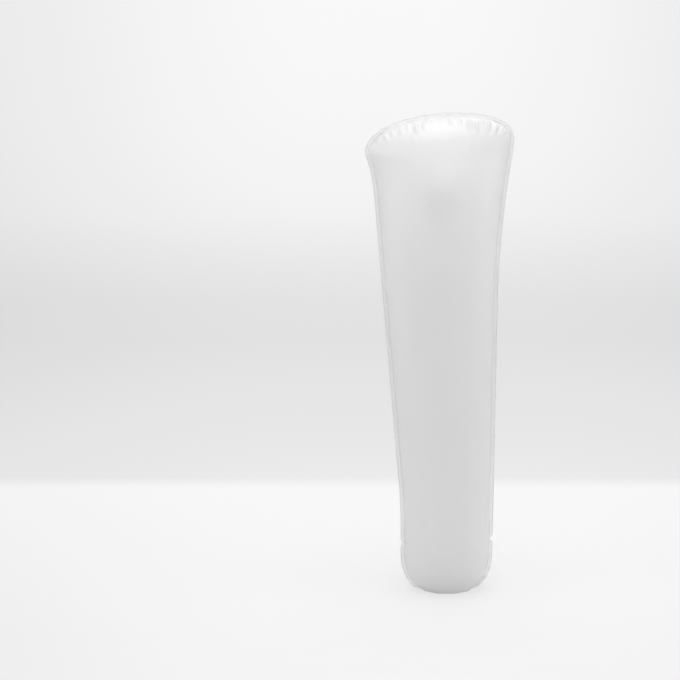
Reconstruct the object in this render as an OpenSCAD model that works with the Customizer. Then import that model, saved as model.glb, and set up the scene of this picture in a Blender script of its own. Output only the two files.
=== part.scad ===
// Inflatable boot shaper: two welded film panels, blown up through a push-in valve.
// It stands on its foot. Z is up, X runs from the calf side (-) to the shin side (+),
// and the valve is on the back panel, at +Y. All sizes are in millimetres, of the body when blown up.

/* [Body] */
// Height from the floor to the top of the weld rim
body_height = 360; // [300:5:440]
// Width of the crown, over the weld rim
crown_width = 107; // [90:1:130]
// Width near the foot, over the weld rim
foot_width = 69; // [55:1:80]
// Depth of the belly, over both films
belly_depth = 81; // [60:1:100]
// Depth near the foot, over both films
foot_depth = 63; // [50:1:80]
// How far the middle of the foot lies to the shin side of the crown's middle
foot_offset = 9.2; // [0:0.2:14]
// Thickness of each film
film = 0.3; // [0.2:0.05:0.6]
// Width of the weld rim, outside the line where the films part
rim = 2.8; // [2:0.2:5]

/* [Outline] */
// Where the crown is highest, to the shin side of its middle
crown_peak = 9; // [0:1:16]
// Length of the end of the body over which its depth runs out into the crown's weld
crown_length = 85; // [60:1:110]
// Height of the large rounded corner on the calf side of the crown
calf_corner = 28; // [15:1:45]
// Height of the tighter corner on the shin side of the crown
shin_corner = 20; // [10:1:40]
// Length below the shin corner over which the shin edge flares out
shin_flare_length = 120; // [60:5:160]
// How far the calf edge flares out just below its corner
calf_flare = 4.2; // [0:0.5:8]
// Length over which the calf edge flares
calf_flare_length = 30; // [20:1:60]

/* [Foot] */
// Height of the rounded corners of the foot
foot_corner = 32; // [20:1:50]
// Length of the end of the body over which its depth runs out into the foot's weld
foot_length = 52; // [35:1:70]
// How far the floor presses the round end of the foot in
foot_press = 5.2; // [3:0.2:8]
// Half width of the groove that the stiff rim makes between the two pads of the foot
groove = 5.5; // [4:0.5:8]

/* [Valve] */
// Distance of the valve's axis below the crown
valve_drop = 74; // [60:1:120]
// Distance of the valve's axis to the shin side of the body's datum
valve_x = 3; // [-4:0.5:6]
// Radius of the flange that is welded inside the back film
flange_r = 13; // [11:0.5:18]
// Thickness of the flange
flange_t = 0.7; // [0.5:0.1:1.2]
// Depth by which the flange flattens the round film
flange_dent = 2.6; // [0.5:0.1:3]
// Radius of the valve's mouth in the flange
mouth_r = 7.6; // [7:0.1:9]
// Wall of the rolling sleeve
sleeve_t = 0.4; // [0.3:0.1:0.8]
// How far the mouth end of the stem lies below the inner face of the film when it is pushed in
stem_sunk = 1.2; // [0.8:0.1:2]
// Length of the stem
stem_length = 7.8; // [6:0.2:12]
// Outer radius of the stem
stem_r = 4.2; // [3.8:0.1:5]
// Radius of the stem's bore
bore_r = 2.6; // [2:0.1:3]
// Radius of the lip at the stem's mouth
lip_r = 5.2; // [4.8:0.1:6]
// Thickness of the lip
lip_t = 1.2; // [0.8:0.1:2]

/* [Stopper] */
// Radial clearance of the plug in the bore
plug_gap = 0.05; // [0.01:0.01:0.1]
// Length of the plug below its head
plug_length = 5.8; // [4:0.1:9]
// Radius of the head
head_r = 5.6; // [5:0.1:6.2]
// Thickness of the head
head_t = 2.3; // [1.8:0.1:3]
// Distance from the axis to the end of the nail tab
tab_reach = 9; // [8:0.1:11]
// Width of the nail tab
tab_w = 5; // [3:0.5:7]
// Thickness of the nail tab
tab_t = 0.6; // [0.4:0.1:0.8]
// Width of the strap
strap_w = 2.4; // [1.6:0.2:2.8]
// Thickness of the strap
strap_t = 0.5; // [0.3:0.1:0.6]
// Height of the straight legs of the strap's hairpin above the head
strap_rise = 2.1; // [1:0.1:4]

/* [Check valve] */
// Thickness of the check ring
ring_t = 1; // [0.8:0.1:1.6]
// Outer radius of the check ring
ring_r = 4.4; // [4.2:0.1:5]
// Radius of the hole in the check ring
seat_r = 2.1; // [1.5:0.1:2.3]
// Length of the spigot that the ring pushes into the stem
spigot = 1; // [0.5:0.1:1.5]
// Radius of the flap
flap_r = 2.8; // [2.4:0.1:3]
// Thickness of the flap
flap_t = 0.4; // [0.3:0.1:0.6]
// Radius of the round bead that the flap hangs by
bead_r = 0.4; // [0.3:0.05:0.5]
// Length of the bead
bead_w = 3; // [2:0.5:3.5]
// Clearance round the bead and behind the flap
flap_gap = 0.05; // [0.03:0.01:0.1]

/* [Hidden] */
$fn = 96;

film_colour = [0.86, 0.87, 0.88];
valve_colour = [0.74, 0.8, 0.86];

// The line where the two films part, called the weld line here
weld_top = body_height - rim;
weld_bottom = -foot_press;
shin_foot = foot_offset + foot_width / 2;
calf_foot = foot_offset - foot_width / 2;
calf_start = 2 * foot_corner;
calf_end = body_height - calf_corner;
shin_end = body_height - shin_corner;
middle = body_height / 2;

// Exponents of the rounded corners and of the ends of the body, seen from the side
calf_round = [2.3, 0.58];
shin_round = [3.4, 0.48];
foot_round = [2.7, 0.5];
end_round = [2.2, 0.58];

valve_z = body_height - valve_drop;
// The flange holds the film flat a little way past its own edge, and the film is round again further out
flat_r = flange_r + 7.5;
flat_blend = 11;

function clamp01(t) = max(0, min(1, t));
function ease(t) = let (c = clamp01(t)) c * c * (3 - 2 * c);
function mix(a, b, t) = a + (b - a) * t;
function rounded(t, shape) = pow(1 - pow(clamp01(t), shape[0]), shape[1]);

// How far a height lies into the corners and into the two ends, from 0 to 1
function into_calf_corner(z) = clamp01(1 - (weld_top - z) / calf_corner);
function into_shin_corner(z) = clamp01(1 - (weld_top - z) / shin_corner);
function into_foot_corner(z) = clamp01((foot_corner - z) / (foot_corner - weld_bottom));
function into_crown(z) = clamp01(1 - (weld_top - z) / crown_length);
function into_foot(z) = clamp01(1 - (z - weld_bottom) / foot_length);

// From 0 at height a to 1 at height b, with a soft bend instead of a kink at a
soft_bend = 24;
function climb(z, a, b) = clamp01(
    (z > a + soft_bend ? z - a : pow(max(0, z - a + soft_bend), 2) / (4 * soft_bend)) / (b - a));

// Side edges over the rim, before the corners are rounded
function shin_edge(z) =
    mix(shin_foot, crown_width / 2, pow(clamp01(1 - (shin_end - z) / shin_flare_length), 2));
function calf_edge(z) =
    mix(calf_foot, calf_flare - crown_width / 2, climb(z, calf_start, calf_end))
    - calf_flare * pow(clamp01(1 - (calf_end - z) / calf_flare_length), 2);

// Edges of the film at a height, grown by g, with the corners rounded
function shin_side(z, g) = z > middle
    ? mix(crown_peak, shin_edge(z) - rim + g, rounded(into_shin_corner(z), shin_round))
    : mix(foot_offset, shin_edge(z) - rim + g, rounded(into_foot_corner(z), foot_round));
function calf_side(z, g) = z > middle
    ? mix(crown_peak, calf_edge(z) + rim - g, rounded(into_calf_corner(z), calf_round))
    : mix(foot_offset, calf_edge(z) + rim - g, rounded(into_foot_corner(z), foot_round));

// Half depth on the middle line: a round body that runs out into the welds at its ends
function half_depth(z, g) =
    (g + mix(foot_depth, belly_depth, climb(z, calf_start, valve_z)) / 2 - film)
    * rounded(into_crown(z), end_round) * rounded(into_foot(z), end_round);

// Level of the flat film under the flange, measured from the weld plane to the film's inner face
flat_level = half_depth(valve_z, 0) - flange_dent;
function held_flat(x, y, z, g) =
    mix(flat_level + g, y, ease((norm([x - valve_x, z - valve_z]) - flat_r) / flat_blend));

// The floor presses the foot flat, but for the groove along the stiff rim
function pressed(y, z, g) = max(z, film - g + (rim + film) * (1 - ease(abs(y) / groove)));

// A point of the film: z is its height before it is pressed, a runs from -90 to 90 degrees round the section
function film_point(z, a, g, flat) =
    let (x = mix(calf_side(z, g), shin_side(z, g), (1 + sin(a)) / 2),
         round_y = half_depth(z, g) * cos(a),
         high = z + g * (into_crown(z) - into_foot(z)),
         y = max(g, flat ? held_flat(x, round_y, high, g) : round_y))
    [x, y, pressed(y, high, g)];

// Heights of the rows of points: close together at both ends and near the valve
foot_rows = [0, 0.5, 1.5, 3, 5.2, 8, 12, 18, 26, 36, 50];
crown_rows = [41, 34, 29, 25, 21, 17, 13, 9.5, 6.5, 4, 2, 0.7, 0];
body_steps = 9;
valve_rows = [-27:4.5:27];
valve_row_first = valve_z - 27;
body_first = weld_bottom + foot_rows[len(foot_rows) - 1];
rows = concat(
    [for (d = foot_rows) weld_bottom + d],
    [for (i = [1:body_steps]) mix(body_first, valve_row_first, i / (body_steps + 1))],
    [for (d = valve_rows) valve_z + d],
    [for (d = crown_rows) weld_top - d]
);
last = len(rows) - 1;
columns = 26;
angles = [for (j = [0:columns]) -90 + 180 * j / columns];

// One skin of a panel is a list of points: the lowest, then row by row, then the highest
function skin(g, flat) = concat(
    [film_point(rows[0], 0, g, flat)],
    [for (i = [1:last - 1]) for (a = angles) film_point(rows[i], a, g, flat)],
    [film_point(rows[last], 0, g, flat)]
);
skin_count = 2 + (last - 1) * (columns + 1);
function at(i, j) = i == 0 ? 0 : i == last ? skin_count - 1 : 1 + (i - 1) * (columns + 1) + j;

// The weld line as a loop: up the calf side, over the crown, down the shin side, through the foot
loop = concat(
    [for (i = [1:last - 1]) at(i, 0)],
    [at(last, 0)],
    [for (i = [last - 1:-1:1]) at(i, columns)],
    [at(0, 0)]
);
loop_rows = concat([for (i = [1:last]) rows[i]], [for (i = [last - 1:-1:0]) rows[i]]);
loop_angles = concat([for (i = [1:last]) -90], [for (i = [last - 1:-1:0]) 90]);
loop_count = len(loop);

// The weld line before the floor presses it, and the edge of the rim outside it
weld_line = [for (k = [0:loop_count - 1])
    let (z = loop_rows[k]) [loop_angles[k] < 0 ? calf_side(z, 0) : shin_side(z, 0), z]];
function outward(k) =
    let (d = weld_line[(k + 1) % loop_count] - weld_line[(k + loop_count - 1) % loop_count])
    [-d[1], d[0]] / norm(d);
rim_edge = [for (k = [0:loop_count - 1]) weld_line[k] + rim * outward(k)];
function rim_points(y) = [for (p = rim_edge) [p[0], y, max(0, p[1])]];

// Two triangles between two pairs of points
function quad(a, b, c, d) = [[a, b, c], [a, c, d]];
function skin_faces(first, inward) = [
    for (i = [0:last - 1]) for (j = [0:columns - 1])
        for (f = i == 0 ? [[at(0, 0), at(1, j + 1), at(1, j)]]
               : i == last - 1 ? [[at(i, j), at(i, j + 1), at(last, 0)]]
               : quad(at(i, j), at(i, j + 1), at(i + 1, j + 1), at(i + 1, j)))
            inward ? [f[2] + first, f[1] + first, f[0] + first] : [f[0] + first, f[1] + first, f[2] + first]
];
function band_faces(from, to) = [
    for (k = [0:loop_count - 1])
        let (n = (k + 1) % loop_count)
        for (f = quad(from[k], to[k], to[n], from[n])) f
];

// A panel of film with its half of the weld rim, bulging towards +Y from the weld plane
module film_panel(flat) {
    inner = skin(0, flat);
    outer = skin(film, flat);
    edge_first = 2 * skin_count;
    weld_inner = [for (k = loop) k];
    weld_outer = [for (k = loop) k + skin_count];
    edge_inner = [for (k = [0:loop_count - 1]) edge_first + k];
    edge_outer = [for (k = [0:loop_count - 1]) edge_first + loop_count + k];
    polyhedron(
        points = concat(inner, outer, rim_points(0), rim_points(film)),
        faces = concat(
            skin_faces(0, true),
            skin_faces(skin_count, false),
            band_faces(weld_inner, edge_inner),
            band_faces(edge_inner, edge_outer),
            band_faces(edge_outer, weld_outer)
        ),
        convexity = 6
    );
}

// The valve: its own Z runs outwards along +Y of the body, from the inner face of the flat film,
// and its own +Y runs down the body
module at_valve() {
    translate([valve_x, seam_y + flat_level, valve_z]) rotate([-90, 0, 0]) children();
}
mouth_gap = 0.3;
stem_foot = -stem_sunk - stem_length;
ring_foot = stem_foot - ring_t;
head_top = head_t - stem_sunk;
bead_y = -(flap_r + bead_r + 0.2);
strap_out_r = (head_r + mouth_r - sleeve_t) / 2;
strap_in_r = head_r - 1;
hairpin_r = (strap_out_r - strap_in_r) / 2;
hairpin_z = head_top + strap_rise;
strap_low_z = -stem_sunk - lip_t / 2;
strap_top = hairpin_z + hairpin_r + strap_t / 2;

// The weld plane is set so that the whole shaper, strap included, is centred on Y
seam_y = (belly_depth / 2 - flat_level - strap_top) / 2;

module front_panel() {
    color(film_colour) translate([0, seam_y, 0]) mirror([0, 1, 0]) film_panel(false);
}

module back_panel() {
    color(film_colour) difference() {
        translate([0, seam_y, 0]) film_panel(true);
        at_valve() translate([0, 0, -2]) cylinder(r = mouth_r + mouth_gap, h = 4);
    }
}

// A ring about the valve's axis
module tube(outer_r, inner_r, low, high) {
    translate([0, 0, low]) difference() {
        cylinder(r = outer_r, h = high - low);
        translate([0, 0, -1]) cylinder(r = inner_r, h = high - low + 2);
    }
}

// Flat disc welded to the inner face of the back film
module valve_flange() {
    color(valve_colour) at_valve() tube(flange_r, mouth_r, -flange_t, 0);
}

// Rolling sleeve between the flange and the foot of the stem, drawn pushed in
module valve_diaphragm() {
    wall_foot_r = stem_r + sleeve_t + 1.2;
    color(valve_colour) at_valve() rotate_extrude() polygon([
        [mouth_r, 0],
        [mouth_r, -flange_t],
        [wall_foot_r, stem_foot],
        [stem_r, stem_foot],
        [stem_r, stem_foot + sleeve_t],
        [wall_foot_r - sleeve_t, stem_foot + sleeve_t],
        [mouth_r - sleeve_t, -flange_t],
        [mouth_r - sleeve_t, 0]
    ]);
}

module valve_stem() {
    color(valve_colour) at_valve() rotate_extrude() polygon([
        [bore_r, stem_foot],
        [stem_r, stem_foot],
        [stem_r, -stem_sunk - lip_t],
        [lip_r, -stem_sunk - lip_t],
        [lip_r, -stem_sunk],
        [bore_r, -stem_sunk]
    ]);
}

// Seat pushed on the inner end of the stem, with a groove that the flap's bead hangs in
module check_ring() {
    color(valve_colour) at_valve() difference() {
        rotate_extrude() polygon([
            [seat_r, ring_foot],
            [ring_r, ring_foot],
            [ring_r, stem_foot],
            [bore_r, stem_foot],
            [bore_r, stem_foot + spigot],
            [seat_r, stem_foot + spigot]
        ]);
        translate([-ring_r, bead_y, ring_foot]) rotate([0, 90, 0])
            cylinder(r = bead_r + flap_gap, h = 2 * ring_r);
    }
}

// Soft flap that covers the seat from inside the body
module check_flap() {
    color(valve_colour) at_valve() union() {
        translate([0, 0, ring_foot - flap_gap - flap_t]) cylinder(r = flap_r, h = flap_t);
        translate([-bead_w / 2, bead_y, ring_foot - flap_gap - flap_t])
            cube([bead_w, -bead_y, flap_t]);
        translate([-bead_w / 2, bead_y, ring_foot]) rotate([0, 90, 0]) cylinder(r = bead_r, h = bead_w);
    }
}

// Plug with a sealing bead, a round head and a nail tab
module stopper_plug() {
    seal_r = bore_r - plug_gap;
    neck_r = seal_r - 0.2;
    plug_foot = -stem_sunk - plug_length;
    color(valve_colour) at_valve() union() {
        rotate_extrude() polygon([
            [0, plug_foot],
            [seal_r - 0.6, plug_foot],
            [seal_r, plug_foot + 1],
            [seal_r, plug_foot + plug_length / 2],
            [neck_r, plug_foot + plug_length / 2 + 0.4],
            [neck_r, -stem_sunk],
            [head_r, -stem_sunk],
            [head_r, head_top - 0.3],
            [head_r - 0.3, head_top],
            [0, head_top]
        ]);
        translate([-tab_w / 2, -tab_reach, head_top - tab_t]) cube([tab_w, tab_reach - head_r / 2, tab_t]);
    }
}

// Strap from the stem's lip, up past the head and over in a hairpin to the top of the head
module tether_strap() {
    color(valve_colour) at_valve() difference() {
        rotate([90, 0, 90]) translate([0, 0, -strap_w / 2]) linear_extrude(strap_w) {
            translate([0, strap_low_z - strap_t / 2]) square([strap_out_r + strap_t / 2, strap_t]);
            translate([strap_out_r - strap_t / 2, strap_low_z]) square([strap_t, hairpin_z - strap_low_z]);
            translate([strap_in_r - strap_t / 2, head_top]) square([strap_t, strap_rise]);
            translate([strap_in_r + hairpin_r, hairpin_z]) difference() {
                circle(r = hairpin_r + strap_t / 2);
                circle(r = hairpin_r - strap_t / 2);
                translate([-2 * lip_r, -2 * lip_r]) square([4 * lip_r, 2 * lip_r]);
            }
        }
        translate([0, 0, strap_low_z - lip_t]) cylinder(r = lip_r, h = 2 * lip_t);
    }
}

front_panel();
back_panel();
valve_flange();
valve_diaphragm();
valve_stem();
check_ring();
check_flap();
stopper_plug();
tether_strap();
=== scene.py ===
# %% [markdown]
# # An inflatable boot shaper
#
# A boot shaper of this kind is two sheets of soft, frosted plastic film, cut to the shape of a lower
# leg, welded together round the edge and blown up through a small valve. Inside footwear, it keeps
# the shaft upright. This lesson builds its looks on top of a model whose sizes and moving parts are
# already settled, so every number here is a real size in that model's frame: Z is up, X runs from
# the calf side to the shin side, and the valve is on the back, at +Y. Sizes are written in
# millimetres, and MM turns them into the metres that Blender works in.

# %% Load the fixed frame
import math

import bmesh
import bpy
import numpy as np
from mathutils import Matrix, Vector, kdtree, noise


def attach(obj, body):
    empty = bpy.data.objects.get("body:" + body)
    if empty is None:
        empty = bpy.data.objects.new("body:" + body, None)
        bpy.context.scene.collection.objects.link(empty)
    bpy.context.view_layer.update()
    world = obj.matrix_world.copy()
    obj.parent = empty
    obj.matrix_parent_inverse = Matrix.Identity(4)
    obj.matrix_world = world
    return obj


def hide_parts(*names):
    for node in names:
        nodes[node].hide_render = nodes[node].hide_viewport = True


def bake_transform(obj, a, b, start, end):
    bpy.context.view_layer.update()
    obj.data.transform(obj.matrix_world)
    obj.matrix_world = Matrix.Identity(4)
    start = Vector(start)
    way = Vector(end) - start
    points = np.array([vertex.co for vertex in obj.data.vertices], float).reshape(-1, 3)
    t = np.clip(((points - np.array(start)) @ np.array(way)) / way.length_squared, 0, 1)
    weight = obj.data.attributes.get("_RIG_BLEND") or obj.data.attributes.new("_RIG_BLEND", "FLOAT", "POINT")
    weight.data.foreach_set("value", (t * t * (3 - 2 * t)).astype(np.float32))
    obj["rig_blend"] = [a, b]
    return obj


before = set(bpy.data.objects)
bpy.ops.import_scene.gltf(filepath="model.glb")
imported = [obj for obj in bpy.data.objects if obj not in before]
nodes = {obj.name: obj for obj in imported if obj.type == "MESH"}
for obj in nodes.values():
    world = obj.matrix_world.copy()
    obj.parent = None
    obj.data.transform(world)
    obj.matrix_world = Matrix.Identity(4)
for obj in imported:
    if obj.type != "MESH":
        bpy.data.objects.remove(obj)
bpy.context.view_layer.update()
scene = bpy.context.scene

MM = 0.001

# %% [markdown]
# ## The camera
#
# The picture was taken from a little above, with a long lens, because the upright edges of the body
# stay almost parallel. A long lens far away keeps that look. The object isn't in the middle of the
# picture, so the camera stands to one side of it rather than turning, which would tilt the edges.

# %% Place the camera
LENS = 95.3
TILT_DOWN = 14

camera_data = bpy.data.cameras.new("camera")
camera_data.sensor_width = 36.0
camera_data.lens = LENS
camera_data.clip_end = 20.0
camera = bpy.data.objects.new("camera", camera_data)
camera.location = (-0.0711, -1.280, 0.5124)
camera.rotation_euler = (math.radians(90 - TILT_DOWN), 0, 0)
scene.collection.objects.link(camera)
scene.camera = camera
print("The camera looks down by", TILT_DOWN, "degrees through a lens of", LENS, "mm")

# %% [markdown]
# ## The outline of the weld
#
# Everything on this object follows from one closed line: the weld where the two films part. On the
# real product it is the edge of the heated tool. It is the outline of a leg: straight on the shin
# side, sloping on the calf side, with a large and a small rounded corner at the crown. Each side is
# written as a function of height, and the rounded ends use a curve between a circle and a square.

# %% Set the sizes of the body
HEIGHT = 360.0
CROWN_WIDTH = 107.0
FOOT_WIDTH = 69.0
BELLY_DEPTH = 81.0
FOOT_DEPTH = 63.0
FOOT_OFFSET = 9.2
FILM = 0.3
RIM = 2.8
CROWN_PEAK = 9.0
CROWN_LENGTH = 85.0
CALF_CORNER = 28.0
SHIN_CORNER = 20.0
SHIN_FLARE_LENGTH = 120.0
CALF_FLARE = 4.2
CALF_FLARE_LENGTH = 30.0
FOOT_CORNER = 32.0
FOOT_LENGTH = 52.0
FOOT_PRESS = 5.2
GROOVE = 5.5
SEAM_Y = -0.51
SOFT_BEND = 24.0
SHIN_ROUND = (3.4, 0.48)
CALF_ROUND = (2.3, 0.58)
FOOT_ROUND = (2.7, 0.5)
DEPTH_ROUND = (2.2, 0.58)

WELD_TOP = HEIGHT - RIM
WELD_BOTTOM = -FOOT_PRESS
SHIN_FOOT = FOOT_OFFSET + FOOT_WIDTH / 2
CALF_FOOT = FOOT_OFFSET - FOOT_WIDTH / 2
CALF_START = 2 * FOOT_CORNER
CALF_END = HEIGHT - CALF_CORNER
SHIN_END = HEIGHT - SHIN_CORNER
VALVE = Vector((3.0, 286.0))
print("The weld runs from", WELD_BOTTOM, "to", WELD_TOP, "mm before the floor presses the foot flat")


# %% Write the curves that the sides are made of
def clamp01(value):
    return max(0.0, min(1.0, value))


def ease(value):
    value = clamp01(value)
    return value * value * (3 - 2 * value)


def rise(z, start, length):
    return ease((z - start) / length)


def fall(z, end, length):
    return ease((end - z) / length)


def mix(low, high, share):
    return low + (high - low) * share


def rounded(share, power, root):
    return (1 - clamp01(share) ** power) ** root if share < 1 else 0.0


def climb(z, start, end):
    if z > start + SOFT_BEND:
        gained = z - start
    else:
        gained = max(0.0, z - start + SOFT_BEND) ** 2 / (4 * SOFT_BEND)
    return clamp01(gained / (end - start))


# %% Write the sides of the weld line as functions of height
def shin_edge(z):
    flare = clamp01(1 - (SHIN_END - z) / SHIN_FLARE_LENGTH) ** 2
    return mix(SHIN_FOOT, CROWN_WIDTH / 2, flare) - RIM


def calf_edge(z):
    slope = mix(CALF_FOOT, CALF_FLARE - CROWN_WIDTH / 2, climb(z, CALF_START, CALF_END))
    return slope - CALF_FLARE * clamp01(1 - (CALF_END - z) / CALF_FLARE_LENGTH) ** 2 + RIM


def foot_share(z):
    return clamp01((FOOT_CORNER - z) / (FOOT_CORNER - WELD_BOTTOM))


def shin_side(z):
    if z > HEIGHT / 2:
        share = clamp01(1 - (WELD_TOP - z) / SHIN_CORNER)
        return mix(CROWN_PEAK, shin_edge(z), rounded(share, *SHIN_ROUND))
    return mix(FOOT_OFFSET, shin_edge(z), rounded(foot_share(z), *FOOT_ROUND))


def calf_side(z):
    if z > HEIGHT / 2:
        share = clamp01(1 - (WELD_TOP - z) / CALF_CORNER)
        return mix(CROWN_PEAK, calf_edge(z), rounded(share, *CALF_ROUND))
    return mix(FOOT_OFFSET, calf_edge(z), rounded(foot_share(z), *FOOT_ROUND))


print("Width of the weld line at mid height:", round(shin_side(180) - calf_side(180), 1), "mm")

# %% [markdown]
# ## The round of the body
#
# Blown up, the pouch is nearly round in the middle, and its depth runs out into the weld at both
# ends. The depth of a point is the half depth of the body at that height, times the height of
# a half circle across the width. The floor presses the foot flat, but the stiff rim stands up
# between two soft pads, and the disc of the valve holds the back film flat around it.

# %% Write the depth of the film behind the weld plane
FLAT_RADIUS = 17.0
FLAT_BLEND = 12.0
FLAT_SINK = 2.6
NO_WIDTH = 1e-6


def half_depth(z):
    body = mix(FOOT_DEPTH, BELLY_DEPTH, climb(z, CALF_START, VALVE.y)) / 2 - FILM
    into_crown = clamp01(1 - (WELD_TOP - z) / CROWN_LENGTH)
    into_foot = clamp01(1 - (z - WELD_BOTTOM) / FOOT_LENGTH)
    return body * rounded(into_crown, *DEPTH_ROUND) * rounded(into_foot, *DEPTH_ROUND)


FLAT_LEVEL = half_depth(VALVE.y) - FLAT_SINK
VALVE_Y = SEAM_Y + FLAT_LEVEL


def film_depth(x, z):
    left, right = calf_side(z), shin_side(z)
    if right - left < NO_WIDTH:
        return 0.0
    across = (2 * x - left - right) / (right - left)
    return half_depth(z) * math.sqrt(max(0.0, 1 - across * across))


def pressed(depth, z):
    floor_level = FILM + (RIM + FILM) * (1 - ease(depth / GROOVE))
    return max(z, floor_level)


print("Depth of the body at mid height:", round(2 * film_depth(5.0, 180), 1), "mm")

# %% [markdown]
# ## A grid that follows the weld
#
# A pucker runs square to the weld, so the mesh needs an edge loop along the weld and rows square to
# it. A flat grid has both. Its four edges are laid on the four arcs of the outline, and its inside is
# blended between them, which modellers call a Coons patch. The rows are packed close together near
# the weld, where the film turns most.

# %% Sample the outline
OUTLINE_STEPS = 1600


def outline_points():
    span = WELD_TOP - WELD_BOTTOM
    turns = [math.pi * i / OUTLINE_STEPS for i in range(OUTLINE_STEPS + 1)]
    heights = [WELD_BOTTOM + span * (0.5 - 0.5 * math.cos(turn)) for turn in turns]
    calf = [(calf_side(z), z) for z in heights]
    shin = [(shin_side(z), z) for z in heights]
    return np.array(calf), np.array(shin)


def arc_sampler(points):
    steps = np.linalg.norm(np.diff(points, axis=0), axis=1)
    along = np.concatenate([[0.0], np.cumsum(steps)])

    def sample(share):
        place = share * along[-1]
        return np.array([np.interp(place, along, points[:, 0]), np.interp(place, along, points[:, 1])])

    return sample, along[-1]


calf_line, shin_line = outline_points()
print("Points on each side of the outline:", len(calf_line))


# %% Divide the outline into four arcs
CALF_CROWN_HEIGHT = 345.0
SHIN_CROWN_HEIGHT = 350.5
FOOT_HEIGHT = 6.0


def below(line, height):
    return line[line[:, 1] <= height]


def above(line, height):
    return line[line[:, 1] > height]


calf_foot, calf_rest = below(calf_line, FOOT_HEIGHT), above(calf_line, FOOT_HEIGHT)
shin_foot, shin_rest = below(shin_line, FOOT_HEIGHT), above(shin_line, FOOT_HEIGHT)
calf_arc = np.vstack([calf_foot[-1:], below(calf_rest, CALF_CROWN_HEIGHT)])
shin_arc = np.vstack([shin_foot[-1:], below(shin_rest, SHIN_CROWN_HEIGHT)])
crown_arc = np.vstack([
    calf_arc[-1:],
    above(calf_rest, CALF_CROWN_HEIGHT),
    above(shin_rest, SHIN_CROWN_HEIGHT)[::-1],
    shin_arc[-1:],
])
foot_arc = np.vstack([calf_foot[::-1], shin_foot])
calf_at, calf_length = arc_sampler(calf_arc)
shin_at, shin_length = arc_sampler(shin_arc)
crown_at, crown_length = arc_sampler(crown_arc)
foot_at, foot_length = arc_sampler(foot_arc)
print("Arcs in mm: calf", round(calf_length), "shin", round(shin_length),
      "crown", round(crown_length), "foot", round(foot_length))


# %% Number the places along the weld and find the nearest one to any point
weld_loop = np.vstack([crown_arc, shin_arc[::-1], foot_arc[::-1], calf_arc])
weld_steps = np.linalg.norm(np.diff(weld_loop, axis=0), axis=1)
loop_place = np.concatenate([[0.0], np.cumsum(weld_steps)])
weld_tree = kdtree.KDTree(len(weld_loop))
for number, (x, z) in enumerate(weld_loop):
    weld_tree.insert((x, z, 0), number)
weld_tree.balance()


def nearest_weld(x, z):
    _, number, gap = weld_tree.find((x, z, 0))
    return float(loop_place[number]), gap


print("Length of the weld:", round(float(loop_place[-1])), "mm")


# %% Blend a point of the grid between the four arcs
def packed(share, strength):
    swing = math.sin(math.pi * (share - 0.5) * strength) / math.sin(math.pi * 0.5 * strength)
    return 0.5 + 0.5 * swing


def coons(s, t):
    sides = (1 - s) * calf_at(t) + s * shin_at(t)
    ends = (1 - t) * foot_at(s) + t * crown_at(s)
    corners = (
        (1 - s) * (1 - t) * foot_at(0) + s * (1 - t) * foot_at(1)
        + (1 - s) * t * crown_at(0) + s * t * crown_at(1)
    )
    return sides + ends - corners


print("The middle of the grid, x and z in mm:", [round(float(c), 1) for c in coons(0.5, 0.5)])

# %% [markdown]
# ## Puckers
#
# Flat film has to gather where a straight weld closes a round body. Close to the weld it is drawn
# tight and smooth. One or two centimetres in it stands up in short ridges, square to the weld, with a
# shallow valley on each side. No two are alike, so each has its own place, height, width and reach.
# Two nicks in the rim near the foot draw the film in, so a dent starts at each of them.

# %% Lay a row of puckers
HEIGHT_SPREAD = 0.8
WIDTH_SPREAD = 0.5
LENGTH_SPREAD = 0.6


def pucker_row(spots, seed, height, width, start, length):
    rows = []
    for x, z in spots:
        tall = noise.noise(Vector((x * 0.37, seed + z * 0.11, 0.5)))
        wide = noise.noise(Vector((seed, x * 0.53, 7.5 + z * 0.07)))
        rows.append((
            nearest_weld(x, z)[0],
            height * (1 + HEIGHT_SPREAD * tall),
            width * (1 + WIDTH_SPREAD * wide),
            start * (1 + WIDTH_SPREAD * wide),
            length * (1 + LENGTH_SPREAD * tall),
        ))
    return rows


def on_crown(places):
    return [(x, float(np.interp(x, crown_arc[:, 0], crown_arc[:, 1]))) for x in places]


# %% List the puckers of the crown, the foot and the sides
STRONG = [-28.9, -18.0, 7.0, 20.4, 26.0, 34.5, 40.1]
AT_CALF_CORNER = [-45.8, -40.1, -35.2]
BETWEEN = [-49.0, -23.5, -12.0, -5.5, 1.0, 13.5, 30.0, 45.0, 49.0]
FURTHER_IN = [-38.0, -21.8, 8.5, 21.0, 31.0]
ROUND_FOOT = [(42, 12), (36, 2), (27, -3), (18, -5), (9, -5), (0, -5), (-9, -4), (-17, 1), (-23, 10)]
BESIDE_NICKS = [(43.5, 33), (43.5, 45), (-25, 30), (-25, 42)]
NICKS = [(nearest_weld(43.5, 39.5)[0], 1.7, 0.85), (nearest_weld(-25, 36)[0], 1.5, 0.5)]

puckers = pucker_row(on_crown(STRONG), 3.1, 1.8, 1.2, 4.5, 13.0)
puckers += pucker_row(on_crown(AT_CALF_CORNER), 4.6, 1.1, 1.2, 4.0, 11.0)
puckers += pucker_row(on_crown(BETWEEN), 5.7, 1.0, 1.2, 4.0, 10.5)
puckers += pucker_row(on_crown(FURTHER_IN), 2.2, 0.6, 1.6, 17.0, 14.0)
puckers += pucker_row(ROUND_FOOT, 8.3, 0.7, 1.7, 2.5, 14.0)
puckers += pucker_row(BESIDE_NICKS, 9.9, 0.9, 2.4, 1.0, 11.0)
puckers += [(place, -1.3 * depth, width, 0.0, 8.0) for place, width, depth in NICKS]
print("Puckers and dents:", len(puckers))


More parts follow.
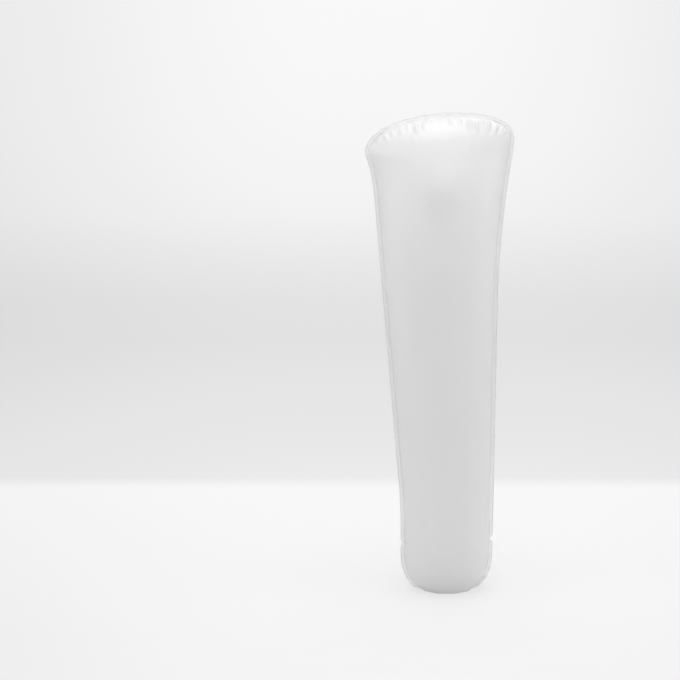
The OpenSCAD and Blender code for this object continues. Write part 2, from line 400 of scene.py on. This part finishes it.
# %% Give a pucker its shape
VALLEY_DEPTH = 0.35
VALLEY_WIDTH = 4.5
PUCKER_REACH = 6
PUCKER_TAPER = 0.75
PUCKER_SWELL = 1.5
FAN_OUT = 30.0


def nicked(place):
    return 1 - sum(depth * math.exp(-((place - centre) / width) ** 2) for centre, width, depth in NICKS)


def puckered(place, inward):
    lift = 0.0
    for centre, height, width, start, length in puckers:
        spread = width * (0.8 + inward / FAN_OUT)
        across = (place - centre) / spread
        if abs(across) > PUCKER_REACH:
            continue
        square = across * across
        ridge = math.exp(-square) - VALLEY_DEPTH * math.exp(-square / VALLEY_WIDTH)
        share = clamp01((inward - start) / length)
        lift += height * ridge * math.sin(math.pi * share ** PUCKER_TAPER) ** PUCKER_SWELL
    return lift


# %% [markdown]
# ## The two film panels
#
# Each panel starts as a flat grid. Its vertices are moved to their places on the blown-up body, and
# then the border edges are extruded outwards for the weld rim, which ripples a little because it is
# longer than the gathered film inside it. The rim leans back at the crown, where the film pulls on
# it. Each vertex also carries two values for the material: how much it belongs to the weld, and how
# much painted light lightens the film's colour there. A Solidify modifier gives the film its thickness.

# %% Set the sizes of a panel's details
COLUMNS = 200
ROWS = 196
GRID_PACKING = 0.9
BACK_SHIFT = 2.6
CREASE_DEPTH = 0.1
CREASE_PLACE = 2.6
CREASE_WIDTH = 0.9
CREASE_ZONE = (320, 25)
PUCKER_FADE = 1.2
RIPPLE_HEIGHT = 0.42
RIPPLE_FADE = 9.0
RIPPLE_CROWN_ZONE = (300, 45)
RIPPLE_FOOT_ZONE = (40, 30)
PANEL_GAP = 0.02
RIM_STEPS = 3
RIM_WAVE_GROWTH = 0.9
RIM_LOOK_DEPTH = 2.0
CROWN_LEAN = math.radians(38)
LEAN_ZONE = (325, 20)
WELD_EDGE = 0.6
FOOT_ZONE = 45
# Painted light: how far and how strongly a lighter colour is painted onto the film near the weld, high up,
# under the crown and across the upper body.
PAINTED_REACH = 20.0
CROWN_PAINTED_REACH = 7.0
PAINTED_CROWN_ZONE = (318, 22)
PAINTED_UPPER_ZONE = (170, 100)
PAINTED_MIDDLE_ZONE = (235, 45)
SHIN_PAINTED_LIGHT = 0.3
CALF_PAINTED_LIGHT = 0.05
HIGH_PAINTED_LIGHT = 0.95
CROWN_PAINTED_LIGHT = 0.5
MIDDLE_PAINTED_LIGHT = 0.4


def ripple(place, height):
    gather = 0.2 + 0.6 * rise(height, *RIPPLE_CROWN_ZONE) + 0.6 * fall(height, *RIPPLE_FOOT_ZONE)
    wave = math.sin(place * 0.71 + 1.3 * math.sin(place * 0.13)) + 0.6 * math.sin(place * 0.37 + 2.0)
    return RIPPLE_HEIGHT * gather * wave


def creased(inward, z):
    dip = math.exp(-((inward - CREASE_PLACE) / CREASE_WIDTH) ** 2)
    return CREASE_DEPTH * dip * rise(z, *CREASE_ZONE)


# Painted light: a lighter film colour near the weld, stronger high up and on the shin side than low on the
# calf side, softer at the crown, plus a painted band across the upper body where the overhead lamps fall.
def painted_film_light(gap, x, z):
    crown = rise(z, *PAINTED_CROWN_ZONE)
    low = SHIN_PAINTED_LIGHT if x > FOOT_OFFSET else CALF_PAINTED_LIGHT
    strength = mix(mix(low, HIGH_PAINTED_LIGHT, rise(z, *PAINTED_UPPER_ZONE)), CROWN_PAINTED_LIGHT, crown)
    edge = strength * (1 - ease(gap / mix(PAINTED_REACH, CROWN_PAINTED_REACH, crown)))
    middle = MIDDLE_PAINTED_LIGHT * rise(z, *PAINTED_MIDDLE_ZONE) * (1 - crown)
    return edge + middle * (1 - edge)


def film_place(x, z, side):
    depth = film_depth(x, z)
    if side > 0:
        away = (Vector((x, z)) - VALVE).length - FLAT_RADIUS
        depth = mix(FLAT_LEVEL, depth, ease(away / FLAT_BLEND))
    return depth, pressed(depth, z)


# %% Lay the grid on the body and raise its puckers
def lay_grid(shape, side):
    placed = []
    for vertex in shape.verts:
        s = packed(0.5 + 0.5 * vertex.co.x, GRID_PACKING)
        t = packed(0.5 + 0.5 * vertex.co.y, GRID_PACKING)
        x, z = coons(s, t)
        depth, level = film_place(x, z, side)
        vertex.co = Vector((x, side * depth, level))
        placed.append((vertex, x, z))
    shape.normal_update()
    return placed


def raise_puckers(shape, placed, side):
    painted_light_layer = shape.verts.layers.float["painted_light"]
    for vertex, x, z in placed:
        depth = abs(vertex.co.y)
        place, gap = nearest_weld(x, z)
        inward = math.hypot(gap, depth)
        # The vertex keeps the painted light that lightens the film's colour.
        vertex[painted_light_layer] = painted_film_light(gap, x, z)
        lift = puckered(place + BACK_SHIFT * (side > 0), inward) - creased(inward, z)
        outward = vertex.normal if vertex.normal.y * side > 0 else -vertex.normal
        moved = vertex.co + outward * lift * ease(depth / PUCKER_FADE)
        moved.z = max(moved.z, FILM) if z < FOOT_ZONE else moved.z
        moved.y = side * max(PANEL_GAP, moved.y * side)
        vertex.co = moved
        vertex.co.y += ripple(place, z) * (1 - ease(depth / RIPPLE_FADE)) + side * PANEL_GAP
    for face in shape.faces:
        deepest = max(abs(vertex.co.y) for vertex in face.verts)
        face.material_index = 1 if deepest < RIM_LOOK_DEPTH else 0


# %% Extrude the rim
def rim_directions(border, flat):
    outward = {}
    for edge in border:
        a, b = (flat[vertex] for vertex in edge.verts)
        inner = [vertex for vertex in edge.link_faces[0].verts if vertex not in edge.verts]
        out = Vector((b.z - a.z, 0, a.x - b.x))
        if out.dot(a - flat[inner[0]]) < 0:
            out = -out
        for vertex in edge.verts:
            outward[vertex] = outward.get(vertex, Vector()) + out
    return {vertex: out.normalized() for vertex, out in outward.items()}


def rim_place(origin, out, step, side):
    x, z = origin.x, origin.z
    place = nearest_weld(x, z)[0]
    reach = RIM * step / RIM_STEPS * nicked(place)
    wave = ripple(place, z) * (1 + RIM_WAVE_GROWTH * step / RIM_STEPS)
    level = z + out.z * reach
    weld_level = pressed(0.0, z)
    if z < weld_level:
        level = mix(weld_level, max(0.0, z + out.z * RIM), step / RIM_STEPS)
    lean = CROWN_LEAN * rise(z, *LEAN_ZONE)
    level -= out.z * reach * (1 - math.cos(lean))
    wave += reach * math.sin(lean)
    return Vector((x + out.x * reach * math.cos(lean), wave + side * PANEL_GAP, max(0.0, level)))


def extrude_rim(shape, placed, side):
    weld_layer = shape.verts.layers.float["weld"]
    flat = {vertex: Vector((x, 0, z)) for vertex, x, z in placed}
    ring = [edge for edge in shape.edges if edge.is_boundary]
    outward = rim_directions(ring, flat)
    source = {vertex: vertex for vertex in outward}
    for vertex in outward:
        vertex[weld_layer] = WELD_EDGE
    for step in range(1, RIM_STEPS + 1):
        made = bmesh.ops.extrude_edge_only(shape, edges=ring)["geom"]
        grown = {}
        for item in made:
            if isinstance(item, bmesh.types.BMFace):
                item.material_index = 1
            if isinstance(item, bmesh.types.BMVert):
                linked = [edge.other_vert(item) for edge in item.link_edges]
                grown[item] = next(source[other] for other in linked if other in source)
        for vertex, origin in grown.items():
            vertex.co = rim_place(flat[origin], outward[origin], step, side)
            vertex[weld_layer] = 1.0
        new_edges = [item for item in made if isinstance(item, bmesh.types.BMEdge)]
        ring = [edge for edge in new_edges if edge.verts[0] in grown and edge.verts[1] in grown]
        source = grown


# %% Make both panels
def add_piece(name, shape):
    mesh = bpy.data.meshes.new(name)
    shape.to_mesh(mesh)
    shape.free()
    piece = bpy.data.objects.new(name, mesh)
    scene.collection.objects.link(piece)
    return piece


def make_panel(name, side):
    shape = bmesh.new()
    bmesh.ops.create_grid(shape, x_segments=COLUMNS, y_segments=ROWS, size=1.0)
    shape.verts.layers.float.new("weld")
    shape.verts.layers.float.new("painted_light")
    placed = lay_grid(shape, side)
    raise_puckers(shape, placed, side)
    extrude_rim(shape, placed, side)
    bmesh.ops.translate(shape, verts=shape.verts, vec=(0, SEAM_Y, 0))
    bmesh.ops.scale(shape, verts=shape.verts, vec=(MM, MM, MM))
    bmesh.ops.recalc_face_normals(shape, faces=shape.faces)
    facing = sum(face.normal.y * face.calc_area() for face in shape.faces) * side
    if facing < 0:
        bmesh.ops.reverse_faces(shape, faces=shape.faces)
    for face in shape.faces:
        face.smooth = True
    return add_piece(name, shape)


front_film = make_panel("front_film", -1)
back_film = make_panel("back_film", 1)
print("Vertices of each panel:", len(front_film.data.vertices))


# %% Give the films their thickness
def run_modifiers(piece):
    depsgraph = bpy.context.evaluated_depsgraph_get()
    finished = bpy.data.meshes.new_from_object(
        piece.evaluated_get(depsgraph), preserve_all_data_layers=True, depsgraph=depsgraph,
    )
    old = piece.data
    piece.modifiers.clear()
    piece.data = finished
    bpy.data.meshes.remove(old)


def thicken(piece, amount):
    wall = piece.modifiers.new("wall", "SOLIDIFY")
    wall.thickness = amount * MM
    wall.offset = 1.0
    wall.use_even_offset = False
    run_modifiers(piece)


for film_piece in (front_film, back_film):
    thicken(film_piece, FILM)
    for vertex in film_piece.data.vertices:
        vertex.co.z = max(0.0, vertex.co.z)
print("Vertices of the front film with its thickness:", len(front_film.data.vertices))

# %% [markdown]
# ## The hole for the valve
#
# The back film has a round hole punched in it before the valve's disc is welded over it. A Boolean
# with a cylinder cuts it cleanly through the thin wall, where deleting faces would leave steps.

# %% Punch the hole
MOUTH_RADIUS = 7.6
HOLE_GAP = 0.3
PUNCH_LENGTH = 5


def make_punch():
    shape = bmesh.new()
    middle = Matrix.Translation((VALVE.x * MM, VALVE_Y * MM, VALVE.y * MM))
    radius = (MOUTH_RADIUS + HOLE_GAP) * MM
    bmesh.ops.create_cone(
        shape, cap_ends=True, segments=96, radius1=radius, radius2=radius,
        depth=PUNCH_LENGTH * MM, matrix=middle @ Matrix.Rotation(math.radians(90), 4, "X"),
    )
    return add_piece("punch", shape)


punch = make_punch()
cut = back_film.modifiers.new("hole", "BOOLEAN")
cut.operation = "DIFFERENCE"
cut.solver = "EXACT"
cut.object = punch
bpy.context.view_layer.update()
run_modifiers(back_film)
bpy.data.objects.remove(punch)
print("Vertices of the back film with its hole:", len(back_film.data.vertices))

# %% [markdown]
# ## Frosted film
#
# The film is clear plastic with a fine matt grain pressed into it, so it scatters the light that goes
# through: white, soft, and a little darker where two layers and the hollow between them are seen
# square on. Near the weld, under the crown and across the upper body the layers turn towards the
# lamps above, and the vertex value mixes in a lighter colour there as painted light. The welded rim
# was pressed smooth by the hot tool, so it is glossier and clearer. The valve's disc and sleeve are pale,
# and its other parts are blue.


# %% Build the grain group
def add_socket(group, name, kind, way, value=None):
    socket = group.interface.new_socket(name=name, in_out=way, socket_type=kind)
    if value is not None:
        socket.default_value = value
    return socket


def make_grain_group():
    group = bpy.data.node_groups.new("Film grain", "ShaderNodeTree")
    add_socket(group, "Scale", "NodeSocketFloat", "INPUT", 900.0)
    add_socket(group, "Low", "NodeSocketFloat", "INPUT", 0.3)
    add_socket(group, "High", "NodeSocketFloat", "INPUT", 0.4)
    add_socket(group, "Grain", "NodeSocketFloat", "OUTPUT")
    add_socket(group, "Roughness", "NodeSocketFloat", "OUTPUT")
    tree, links = group.nodes, group.links
    entry = tree.new("NodeGroupInput")
    leave = tree.new("NodeGroupOutput")
    place = tree.new("ShaderNodeTexCoord")
    fine = tree.new("ShaderNodeTexNoise")
    fine.inputs["Detail"].default_value = 3.0
    broad = tree.new("ShaderNodeTexNoise")
    broad.inputs["Scale"].default_value = 35.0
    broad.inputs["Detail"].default_value = 2.0
    spread = tree.new("ShaderNodeMapRange")
    spread.inputs["From Min"].default_value = 0.35
    spread.inputs["From Max"].default_value = 0.65
    links.new(place.outputs["Object"], fine.inputs["Vector"])
    links.new(entry.outputs["Scale"], fine.inputs["Scale"])
    links.new(place.outputs["Object"], broad.inputs["Vector"])
    links.new(broad.outputs["Fac"], spread.inputs["Value"])
    links.new(entry.outputs["Low"], spread.inputs["To Min"])
    links.new(entry.outputs["High"], spread.inputs["To Max"])
    links.new(fine.outputs["Fac"], leave.inputs["Grain"])
    links.new(spread.outputs["Result"], leave.inputs["Roughness"])
    return group


grain_group = make_grain_group()
print("Nodes in the grain group:", len(grain_group.nodes))


# %% Make the film's material
FILM_COLOR = (0.902, 0.90, 0.90, 1)
# The lighter colour is painted light, not a paler film.
PAINTED_LIGHT_FILM_COLOR = (0.965, 0.963, 0.962, 1)


def new_material(name):
    material = bpy.data.materials.new(name)
    material.use_nodes = True
    return material, material.node_tree.nodes, material.node_tree.links


def add_grain(tree, low, high):
    grain = tree.new("ShaderNodeGroup")
    grain.node_tree = grain_group
    grain.inputs["Low"].default_value = low
    grain.inputs["High"].default_value = high
    return grain


def make_film_material():
    material, tree, links = new_material("frosted_film")
    shader = tree["Principled BSDF"]
    shader.inputs["IOR"].default_value = 1.15
    shader.inputs["Transmission Weight"].default_value = 0.5
    shader.inputs["Coat Weight"].default_value = 0.5
    shader.inputs["Coat Roughness"].default_value = 0.3
    # Painted light: the vertex value mixes the lighter colour into the film.
    near = tree.new("ShaderNodeAttribute")
    near.attribute_name = "painted_light"
    color = tree.new("ShaderNodeMix")
    color.data_type = "RGBA"
    color.inputs["A"].default_value = FILM_COLOR
    color.inputs["B"].default_value = PAINTED_LIGHT_FILM_COLOR
    links.new(near.outputs["Fac"], color.inputs["Factor"])
    links.new(color.outputs["Result"], shader.inputs["Base Color"])
    grain = add_grain(tree, 0.34, 0.46)
    weld = tree.new("ShaderNodeAttribute")
    weld.attribute_name = "weld"
    rough = tree.new("ShaderNodeMix")
    rough.data_type = "FLOAT"
    rough.inputs["B"].default_value = 0.2
    links.new(weld.outputs["Fac"], rough.inputs["Factor"])
    links.new(grain.outputs["Roughness"], rough.inputs["A"])
    links.new(rough.outputs["Result"], shader.inputs["Roughness"])
    bump = tree.new("ShaderNodeBump")
    bump.inputs["Strength"].default_value = 0.08
    bump.inputs["Distance"].default_value = 0.0001
    links.new(grain.outputs["Grain"], bump.inputs["Height"])
    links.new(bump.outputs["Normal"], shader.inputs["Normal"])
    return material


film_material = make_film_material()
print("Made the material", film_material.name)


# %% Make the materials of the rim and the valve
def make_clear_material(name, color, ior, clear, low, high, scale=None):
    material, tree, links = new_material(name)
    shader = tree["Principled BSDF"]
    shader.inputs["Base Color"].default_value = color
    shader.inputs["IOR"].default_value = ior
    shader.inputs["Transmission Weight"].default_value = clear
    grain = add_grain(tree, low, high)
    if scale is not None:
        grain.inputs["Scale"].default_value = scale
    links.new(grain.outputs["Roughness"], shader.inputs["Roughness"])
    return material


RIM_COLOR = (0.995, 0.993, 0.988, 1)
VALVE_COLOR = (0.36, 0.57, 0.98, 1)
FLANGE_COLOR = (0.84, 0.87, 0.90, 1)
rim_material = make_clear_material("welded_rim", RIM_COLOR, 1.2, 0.86, 0.28, 0.38)
valve_material = make_clear_material("valve_plastic", VALVE_COLOR, 1.5, 0.4, 0.14, 0.24, 1600.0)
flange_material = make_clear_material("flange_plastic", FLANGE_COLOR, 1.5, 0.4, 0.14, 0.24, 1600.0)
NODE_LOOKS = {"front_panel": film_material, "back_panel": film_material, "valve_flange": flange_material}
for name, node in nodes.items():
    node.data.materials.clear()
    node.data.materials.append(NODE_LOOKS.get(name, valve_material))
print("Nodes that now have a material:", len(nodes))

# %% [markdown]
# ## The sleeve of the valve
#
# The stem hangs in the flange by a thin sleeve. Pulled out, the sleeve rolls inside out, so one end
# of its mesh follows the body and the other end follows the stem, with a smooth change in between.
# Its profile is spun round the valve's axis, and soft folds run round it where it rolls.

# %% Spin a profile round the valve's axis
def valve_point(radius, level, angle):
    x = VALVE.x + radius * math.sin(angle)
    return Vector((x, VALVE_Y + level, VALVE.y + radius * math.cos(angle))) * MM


def spin_profile(name, profile, segments):
    shape = bmesh.new()
    verts = [shape.verts.new(valve_point(radius, level, 0)) for radius, level in profile]
    edges = [shape.edges.new((verts[i], verts[(i + 1) % len(verts)])) for i in range(len(verts))]
    bmesh.ops.spin(
        shape, geom=verts + edges, cent=valve_point(0, 0, 0), axis=(0, 1, 0), angle=2 * math.pi,
        steps=segments, use_merge=True,
    )
    bmesh.ops.remove_doubles(shape, verts=shape.verts, dist=0.002 * MM)
    bmesh.ops.recalc_face_normals(shape, faces=shape.faces)
    for face in shape.faces:
        face.smooth = True
    return add_piece(name, shape)


# %% Make the sleeve
SLEEVE_WALL = 0.4
SLEEVE_DEPTH = 9.0
SLEEVE_FOOT = 5.8
SLEEVE_STEPS = 36
SLEEVE_FOLD = 0.12
STEM_RADIUS = 4.2
STEM_GAP = 0.02


def sleeve_profile():
    outer, inner = [], []
    for step in range(SLEEVE_STEPS + 1):
        share = step / SLEEVE_STEPS
        level = -SLEEVE_DEPTH * share
        fold = SLEEVE_FOLD * math.sin(share * math.pi * 5) * math.sin(share * math.pi)
        radius = mix(MOUTH_RADIUS, SLEEVE_FOOT, share) + fold
        outer.append((radius, level))
        inner.append((radius - SLEEVE_WALL, level))
    hem_level = -SLEEVE_DEPTH + SLEEVE_WALL
    inner = [point for point in inner if point[1] > hem_level]
    hem = [
        (SLEEVE_FOOT - 0.12, -SLEEVE_DEPTH),
        (STEM_RADIUS + STEM_GAP, -SLEEVE_DEPTH),
        (STEM_RADIUS + STEM_GAP, hem_level),
        (SLEEVE_FOOT - SLEEVE_WALL - 0.2, hem_level),
    ]
    return outer[:-1] + hem + inner[::-1]


sleeve = spin_profile("rolling_sleeve", sleeve_profile(), 96)
sleeve.data.materials.append(flange_material)
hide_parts("valve_diaphragm")
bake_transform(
    sleeve, "bag", "stem",
    start=tuple(valve_point(0, -0.3, 0)),
    end=tuple(valve_point(0, -SLEEVE_DEPTH + 0.5, 0)),
)
print("Faces of the sleeve:", len(sleeve.data.polygons))

# %% [markdown]
# ## The strap of the stopper
#
# A flat strap keeps the plug from getting lost. It leaves the side of the stem's lip, rises, turns over
# in a tight bend and comes down on the plug's head. A rounded rectangle is carried along that
# line, and its ends follow the two pieces that it joins.

# %% Draw the strap's line and its section
STRAP_WIDTH = 2.4
STRAP_THICK = 0.5
STRAP_CORNER = 0.16
LIP_LEVEL = -1.8
LIP_BEND = 0.6
STRAP_OUT = 6.4
STRAP_IN = 4.6
TOP_LEVEL = 3.2
TOP_BEND = 0.9


def strap_line():
    lip_radial, lip_level = STRAP_OUT - LIP_BEND, LIP_LEVEL + LIP_BEND
    top_radial = (STRAP_OUT + STRAP_IN) / 2
    line = [(5.15, LIP_LEVEL), (5.5, LIP_LEVEL), (lip_radial, LIP_LEVEL)]
    for step in range(1, 7):
        angle = math.radians(15 * step)
        line.append((lip_radial + LIP_BEND * math.sin(angle), lip_level - LIP_BEND * math.cos(angle)))
    line += [(STRAP_OUT, level) for level in (-0.6, 0.2, 1.0, 1.8, 2.6)]
    for step in range(0, 13):
        angle = math.radians(15 * step)
        line.append((top_radial + TOP_BEND * math.cos(angle), TOP_LEVEL + TOP_BEND * math.sin(angle)))
    line += [(STRAP_IN, level) for level in (2.6, 2.0, 1.5, 1.1)]
    return line


def strap_section():
    wide = STRAP_WIDTH / 2 - STRAP_CORNER
    thick = STRAP_THICK / 2 - STRAP_CORNER
    section = []
    for cx, cy, first in ((wide, thick, 0), (-wide, thick, 90), (-wide, -thick, 180), (wide, -thick, 270)):
        for turn in (0, 30, 60, 90):
            angle = math.radians(first + turn)
            section.append((cx + STRAP_CORNER * math.cos(angle), cy + STRAP_CORNER * math.sin(angle)))
    return section


print("Points along the strap and round it:", len(strap_line()), len(strap_section()))


# %% Sweep the strap
def strap_rings(shape):
    line = [Vector(point) for point in strap_line()]
    rings = []
    for number, point in enumerate(line):
        before, after = line[max(0, number - 1)], line[min(len(line) - 1, number + 1)]
        run = (after - before).normalized()
        across = Vector((run.y, -run.x))
        ring = []
        for wide, thick in strap_section():
            radial, level = point + across * thick
            place = Vector((VALVE.x + wide, VALVE_Y + level, VALVE.y - radial)) * MM
            ring.append(shape.verts.new(place))
        rings.append(ring)
    return rings


def make_strap():
    shape = bmesh.new()
    rings = strap_rings(shape)
    for first, second in zip(rings, rings[1:]):
        for k in range(len(first)):
            n = (k + 1) % len(first)
            shape.faces.new((first[k], first[n], second[n], second[k]))
    shape.faces.new(rings[0])
    shape.faces.new(rings[-1])
    bmesh.ops.recalc_face_normals(shape, faces=shape.faces)
    for face in shape.faces:
        face.smooth = len(face.verts) == 4
    return add_piece("stopper_strap", shape)


strap = make_strap()
strap.data.materials.append(valve_material)
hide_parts("tether_strap")
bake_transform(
    strap, "stem", "stopper",
    start=tuple(Vector((VALVE.x, VALVE_Y + 1.0, VALVE.y - 5.85)) * MM),
    end=tuple(Vector((VALVE.x, VALVE_Y + 1.28, VALVE.y - 4.72)) * MM),
)
print("Faces of the strap:", len(strap.data.polygons))

# %% [markdown]
# ## The weld print round the valve
#
# The heated tool that welds the valve's disc to the film leaves a pattern of small squares pressed
# into the film. It is a thin raised ring here, with radial and round grooves, on the outside of the film.

# %% Press the weld print
PRINT_INNER = 8.1
PRINT_OUTER = 12.7
PRINT_UNDERSIDE = 0.301
PRINT_EDGE = 0.31
PRINT_LOW = 0.34
PRINT_RIDGE = 0.2
ROUND_GROOVES = 4
RADIAL_GROOVES = 48
PRINT_STEPS = 28


def print_profile():
    profile = [(PRINT_INNER, PRINT_EDGE)]
    for step in range(PRINT_STEPS + 1):
        ridge = 0.5 - 0.5 * math.cos(step / PRINT_STEPS * 2 * math.pi * ROUND_GROOVES)
        profile.append((8.3 + 4.2 * step / PRINT_STEPS, PRINT_LOW + PRINT_RIDGE * ridge))
    profile.append((PRINT_OUTER, PRINT_EDGE))
    profile += [(PRINT_OUTER, PRINT_UNDERSIDE), (PRINT_INNER, PRINT_UNDERSIDE)]
    return profile


def make_weld_print():
    ring = spin_profile("weld_print", print_profile(), 192)
    for vertex in ring.data.vertices:
        place = vertex.co / MM - Vector((VALVE.x, VALVE_Y, VALVE.y))
        if place.y > 0.33:
            knurl = 0.5 - 0.5 * math.cos(math.atan2(place.x, place.z) * RADIAL_GROOVES)
            vertex.co.y -= (place.y - 0.335) * (1 - knurl) * MM
    return ring


weld_print = make_weld_print()
weld_print.data.materials.append(film_material)
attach(weld_print, "bag")
print("Faces of the weld print:", len(weld_print.data.polygons))

# %% Dress the films and tie them to the model
for film_piece, node_name in ((front_film, "front_panel"), (back_film, "back_panel")):
    film_piece.data.materials.append(film_material)
    film_piece.data.materials.append(rim_material)
    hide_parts(node_name)
    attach(film_piece, "bag")
    print(film_piece.name, "takes the place of", node_name)

# %% [markdown]
# ## Floor and light
#
# A studio for a white object needs a pale floor that runs up into the backdrop without a corner. The
# light is soft and comes mostly from above and from both sides, so that the upright middle of
# the body, which faces the camera, is its darkest part and the crown is the brightest. The floor and
# the backdrop glow a little for the camera and for light that passes through or glances off the film.
# This glow is painted light, graded from front to back, with a darker band of painted shade where the
# floor ends and painted shade towards both sides. Close to the object the paper itself shows more, because
# it holds the shadow.


# %% Build the sweep of the floor
SWEEP_HALF_WIDTH = 4
SWEEP_FRONT = -3
BEND_START = 1.6
BEND_RADIUS = 0.9
BEND_STEPS = 12
WALL_TOP = 4.0


def sweep_profile():
    profile = [(BEND_START, 0)]
    for step in range(1, BEND_STEPS + 1):
        angle = math.radians(90 / BEND_STEPS * step)
        y = BEND_START + BEND_RADIUS * math.sin(angle)
        profile.append((y, BEND_RADIUS - BEND_RADIUS * math.cos(angle)))
    profile.append((BEND_START + BEND_RADIUS, WALL_TOP))
    return profile


def make_sweep():
    shape = bmesh.new()
    start = shape.verts.new((-SWEEP_HALF_WIDTH, SWEEP_FRONT, 0))
    end = shape.verts.new((SWEEP_HALF_WIDTH, SWEEP_FRONT, 0))
    ring = [shape.edges.new((start, end))]
    last = Vector((0, SWEEP_FRONT, 0))
    for y, z in sweep_profile():
        made = bmesh.ops.extrude_edge_only(shape, edges=ring)["geom"]
        verts = [item for item in made if isinstance(item, bmesh.types.BMVert)]
        here = Vector((0, y, z))
        bmesh.ops.translate(shape, verts=verts, vec=here - last)
        last = here
        ring = [item for item in made if isinstance(item, bmesh.types.BMEdge)]
    for face in shape.faces:
        face.smooth = True
    bmesh.ops.recalc_face_normals(shape, faces=shape.faces)
    return add_piece("sweep", shape)


sweep = make_sweep()
print("Faces of the sweep:", len(sweep.data.polygons))


# %% Make the sweep's material
PAPER_COLOR = (0.83, 0.83, 0.83, 1)
# Painted light on the sweep: its glow is graded by depth, with a sudden darker band of painted shade where
# the floor ends.
PAINTED_LIGHT_DEPTH = (-0.3, 2.7)
PAINTED_LIGHT_STOPS = [
    (0.07, 0.875), (0.178, 0.937), (0.188, 0.82), (0.36, 0.76), (0.43, 0.77), (0.63, 0.88),
    (0.77, 0.925), (0.92, 0.955),
]


def add_range(tree, links, value, source, target, kind="SMOOTHSTEP"):
    node = tree.new("ShaderNodeMapRange")
    node.interpolation_type = kind
    node.inputs["From Min"].default_value, node.inputs["From Max"].default_value = source
    node.inputs["To Min"].default_value, node.inputs["To Max"].default_value = target
    links.new(value, node.inputs["Value"])
    return node.outputs["Result"]


def add_math(tree, links, operation, *values):
    node = tree.new("ShaderNodeMath")
    node.operation = operation
    for number, value in enumerate(values):
        links.new(value, node.inputs[number])
    return node.outputs["Value"]


def add_painted_light_bands(tree, links, depth):
    shade = tree.new("ShaderNodeValToRGB")
    ramp = shade.color_ramp
    while len(ramp.elements) < len(PAINTED_LIGHT_STOPS):
        ramp.elements.new(0.5)
    for element, (position, value) in zip(ramp.elements, PAINTED_LIGHT_STOPS):
        element.position = position
        element.color = (value, value, value, 1)
    links.new(depth, shade.inputs["Fac"])
    return shade.outputs["Color"]


def make_sweep_material():
    material, tree, links = new_material("sweep_paper")
    paper = tree["Principled BSDF"]
    paper.inputs["Base Color"].default_value = PAPER_COLOR
    paper.inputs["Roughness"].default_value = 0.9
    place = tree.new("ShaderNodeTexCoord").outputs["Object"]
    split = tree.new("ShaderNodeSeparateXYZ")
    links.new(place, split.inputs["Vector"])
    depth = add_range(tree, links, split.outputs["Y"], PAINTED_LIGHT_DEPTH, (0.0, 1.0), "LINEAR")
    # Painted shade: the glow is dimmed towards both sides.
    across = add_math(tree, links, "ABSOLUTE", split.outputs["X"])
    dimmed = tree.new("ShaderNodeVectorMath")
    dimmed.operation = "SCALE"
    links.new(add_painted_light_bands(tree, links, depth), dimmed.inputs[0])
    links.new(add_range(tree, links, across, (0.1, 0.9), (1.0, 0.87)), dimmed.inputs["Scale"])
    glow = tree.new("ShaderNodeEmission")
    links.new(dimmed.outputs["Vector"], glow.inputs["Color"])
    away = tree.new("ShaderNodeVectorMath")
    away.operation = "LENGTH"
    links.new(place, away.inputs[0])
    far = add_range(tree, links, away.outputs["Value"], (0.05, 0.4), (0.7, 1.0))
    path = tree.new("ShaderNodeLightPath").outputs
    seen = add_math(tree, links, "MAXIMUM", path["Is Camera Ray"], path["Is Glossy Ray"])
    seen = add_math(tree, links, "MAXIMUM", seen, path["Is Transmission Ray"])
    blend = tree.new("ShaderNodeMixShader")
    links.new(add_math(tree, links, "MULTIPLY", far, seen), blend.inputs["Fac"])
    links.new(paper.outputs["BSDF"], blend.inputs[1])
    links.new(glow.outputs["Emission"], blend.inputs[2])
    links.new(blend.outputs["Shader"], tree["Material Output"].inputs["Surface"])
    return material


sweep_material = make_sweep_material()
sweep.data.materials.append(sweep_material)
print("Made the material", sweep_material.name)


# %% Hang the lamps
WORLD_STRENGTH = 0.56


def area_lamp(name, place, target, size, power):
    data = bpy.data.lights.new(name, "AREA")
    data.shape = "RECTANGLE"
    data.size, data.size_y = size
    data.energy = power
    lamp = bpy.data.objects.new(name, data)
    lamp.location = place
    lamp.rotation_euler = (Vector(target) - Vector(place)).to_track_quat("-Z", "Y").to_euler()
    scene.collection.objects.link(lamp)
    print("Lamp", name, "of", power, "W")


area_lamp("overhead", (0, 0.1, 1.7), (0, 0, 0.2), (0.9, 1.2), 13.5)
area_lamp("left_side", (-1.3, -0.5, 0.7), (0, 0, 0.2), (0.8, 1.2), 5.5)
area_lamp("right_side", (1.3, -0.3, 0.7), (0, 0, 0.2), (0.8, 1.2), 5.5)
area_lamp("crown_fill", (0.05, -0.7, 0.88), (0, 0, 0.35), (1.4, 0.3), 2.2)
world = bpy.data.worlds.new("studio")
scene.world = world
world.use_nodes = True
sky = world.node_tree.nodes["Background"]
sky.inputs["Color"].default_value = (1, 1, 1, 1)
sky.inputs["Strength"].default_value = WORLD_STRENGTH

# %% Set the plain view transform
scene.view_settings.view_transform = "Standard"
